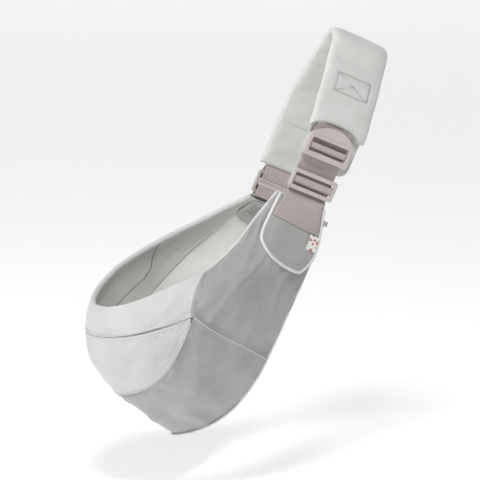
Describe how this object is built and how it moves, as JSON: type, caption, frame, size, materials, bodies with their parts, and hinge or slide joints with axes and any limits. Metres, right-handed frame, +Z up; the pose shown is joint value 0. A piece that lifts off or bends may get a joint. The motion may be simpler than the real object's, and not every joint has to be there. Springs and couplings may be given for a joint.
{
  "type": "one-shoulder toddler sling carrier",
  "caption": "One-shoulder baby sling: padded shoulder strap with a lift-to-release webbing adjuster, holding an open, sewn and padded seat pouch.",
  "frame": {"origin": "middle of the shoulder strap's underside at the top of its arch, where it lies on the wearer's shoulder", "axes": "+Z up; -X is where the seat pouch reaches out, away from the wearer's side; -Y is the front strand with the adjuster, +Y the rear strand"},
  "size_m": [0.3739, 0.2109, 0.4905],
  "materials": {
    "strap_cloth": "soft brushed knit, light grey",
    "pouch_cloth": "fine woven cotton, light grey, matt",
    "lining_cloth": "smooth cotton lining, light grey",
    "webbing": "flat woven polyester webbing, taupe",
    "buckle_plastic": "moulded acetal, satin, beige-pink",
    "thread": "polyester thread, tonal",
    "label_satin": "satin label tape, white",
    "foam": "soft foam and wadding inside the covers",
    "elastic": "braided elastic tape, hidden"
  },
  "bodies": {
    "shoulder_strap": {"strap_outer_cover": "strap_cloth", "strap_foam": "foam", "strap_inner_cover": "strap_cloth", "strap_box_stitching": "thread", "strap_cross_seam": "thread", "adjuster_loop": "webbing"},
    "adjuster": {"adjuster_frame": "buckle_plastic"},
    "pouch": {"front_side_panel": "pouch_cloth", "rear_side_panel": "pouch_cloth", "rim_band": "pouch_cloth", "end_panel": "pouch_cloth", "seat_panel": "pouch_cloth", "rim_padding": "foam", "seat_padding": "foam", "front_side_padding": "foam", "rear_side_padding": "foam", "rim_elastic": "elastic", "rim_facing": "lining_cloth", "pouch_lining": "lining_cloth", "seat_edge_binding": "pouch_cloth", "front_tab": "pouch_cloth", "front_patch": "webbing", "rear_tab_inner": "pouch_cloth", "rear_tab_outer": "pouch_cloth", "front_webbing": "webbing", "rear_webbing": "webbing", "rear_lower_loop": "webbing", "loop_tag": "webbing"},
    "front_keeper": {"keeper_frame": "buckle_plastic"},
    "rear_connector": {"connector_frame": "buckle_plastic"},
    "care_label": {"care_label": "label_satin"}
  },
  "joints": [
    {"name": "strap_length", "type": "slide", "parent": "shoulder_strap", "child": "pouch", "axis": [-0.4147, 0, -0.91], "range_m": [0, 0.035]},
    {"name": "adjuster_lift", "type": "hinge", "parent": "shoulder_strap", "child": "adjuster", "pos_m": [-0.05465, -0.05775, -0.11027], "axis": [0.91, 0, -0.4147], "range_deg": [0, 10]},
    {"name": "keeper_rock", "type": "hinge", "parent": "pouch", "child": "front_keeper", "pos_m": [-0.07352, -0.05575, -0.15167], "axis": [0.91, 0, -0.4147], "range_deg": [-5, 5]},
    {"name": "connector_rock", "type": "hinge", "parent": "pouch", "child": "rear_connector", "pos_m": [-0.08399, 0.046, -0.17465], "axis": [0.91, 0, -0.4147], "range_deg": [-4, 4]},
    {"name": "label_flap", "type": "hinge", "parent": "pouch", "child": "care_label", "pos_m": [-0.0673, -0.0612, -0.2156], "axis": [0.314, 0.147, 0.938], "range_deg": [0, 60]}
  ]
}
